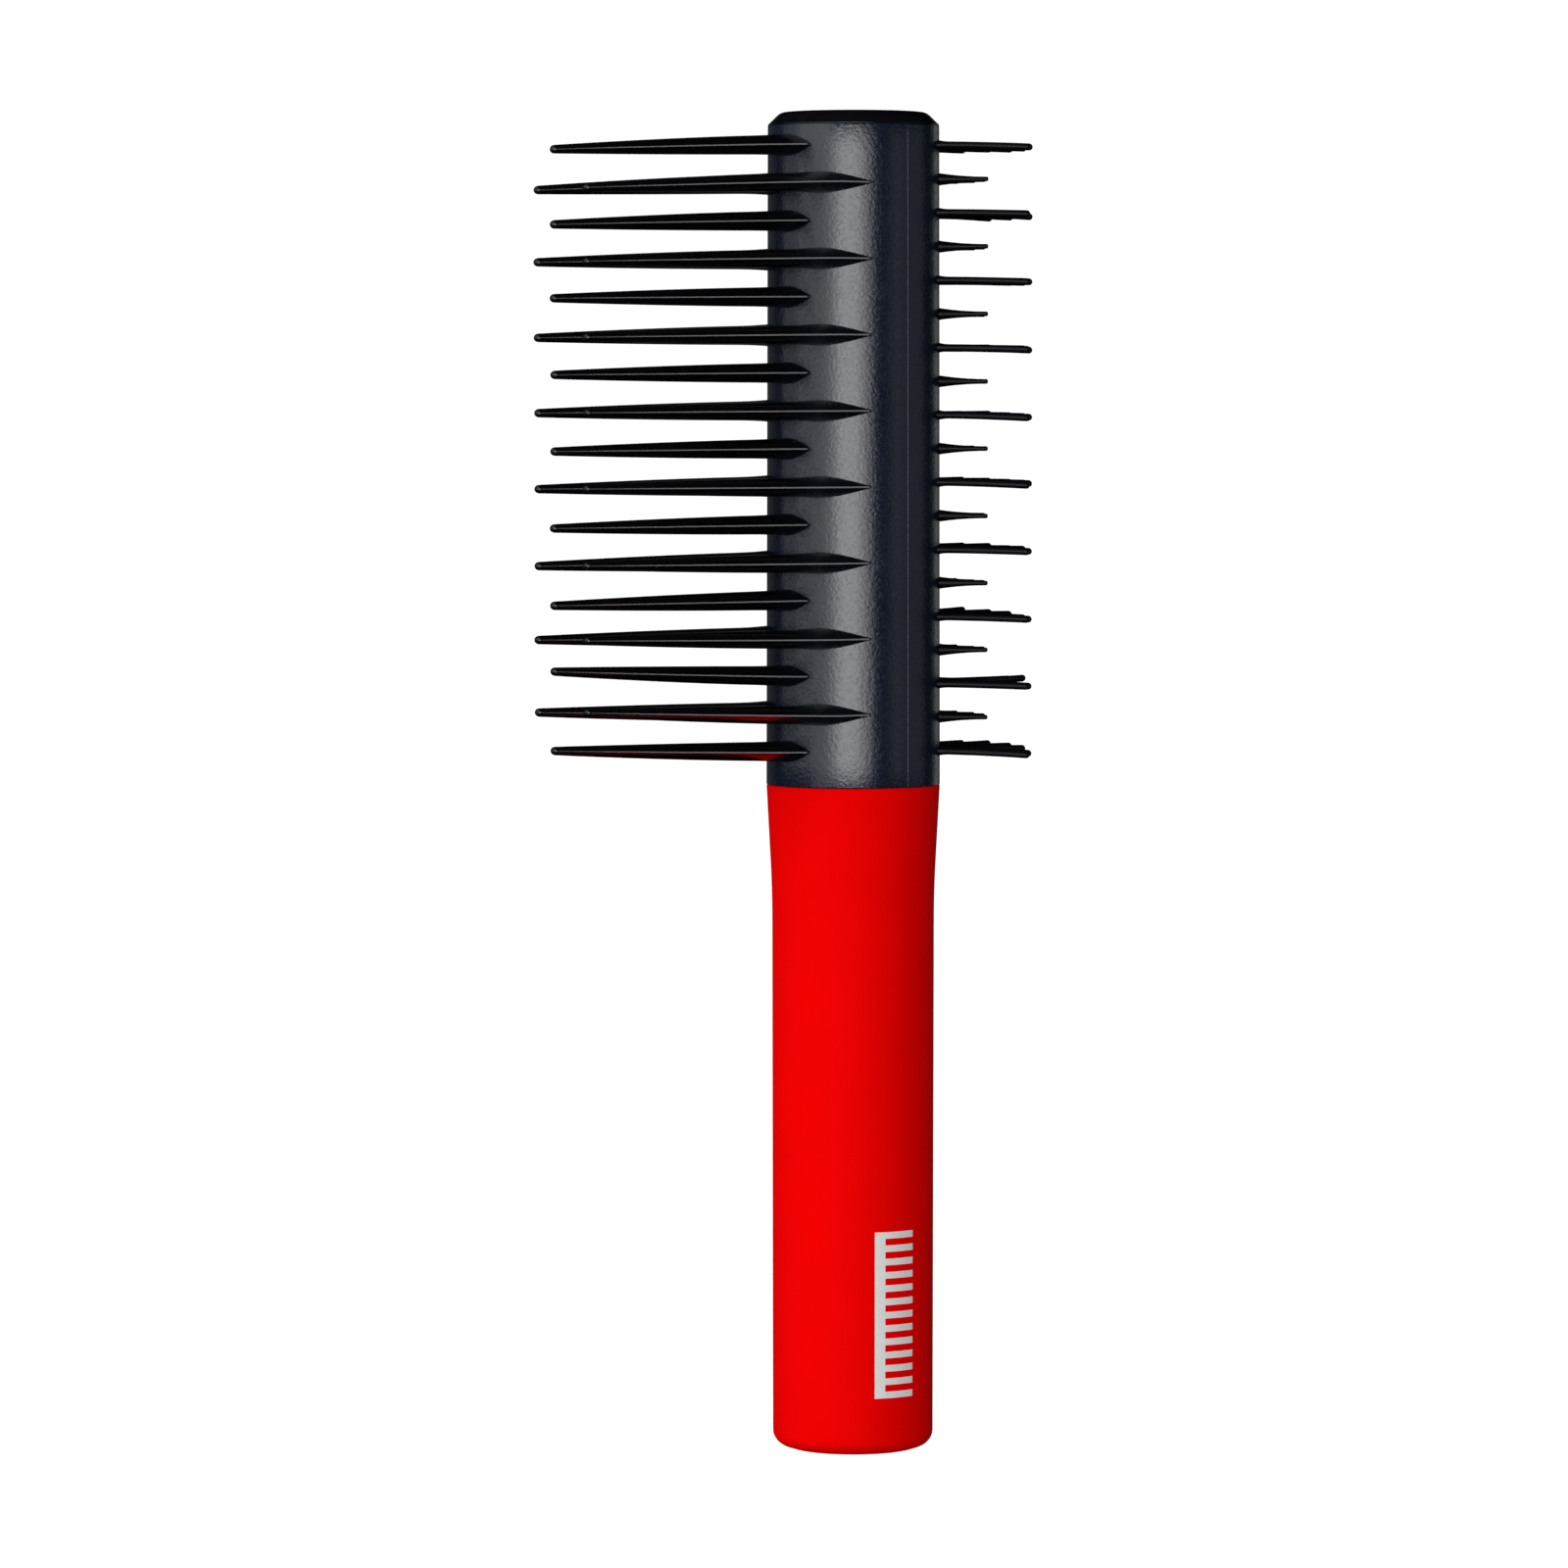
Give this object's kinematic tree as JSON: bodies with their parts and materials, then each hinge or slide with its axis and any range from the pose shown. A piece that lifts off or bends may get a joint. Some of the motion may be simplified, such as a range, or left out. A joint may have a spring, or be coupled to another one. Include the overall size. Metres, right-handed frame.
{
  "type": "two-sided hairbrush",
  "caption": "Two-sided styling hairbrush: a round barrel head with long blade teeth on one side and thin flexible pins on the other, on a straight soft-touch handle.",
  "frame": {"origin": "centre of the flat end face of the handle", "axes": "+Z along the brush from the handle to the head, +X towards the pins, -X towards the blade teeth"},
  "size_m": [0.0988, 0.0494, 0.2394],
  "materials": {
    "barrel": "satin moulded plastic with a fine spark-eroded grain",
    "cap": "polished moulded plastic",
    "teeth": "polished nylon",
    "pins": "smooth nylon",
    "pad": "soft moulded rubber",
    "inner": "plain moulded plastic",
    "grip": "matte soft-touch coating over a moulded sleeve",
    "mark": "pad-printed ink"
  },
  "bodies": {
    "root": {"tooth_shell": "barrel", "pin_shell": "barrel", "head_cap": "cap", "comb_middle": "teeth", "comb_front": "teeth", "comb_back": "teeth", "long_pins": "pins", "short_pins": "pins", "pin_pad": "pad", "pad_backing": "inner", "spine": "inner", "handle_core": "inner", "grip_sleeve": "grip"}
  },
  "joints": []
}
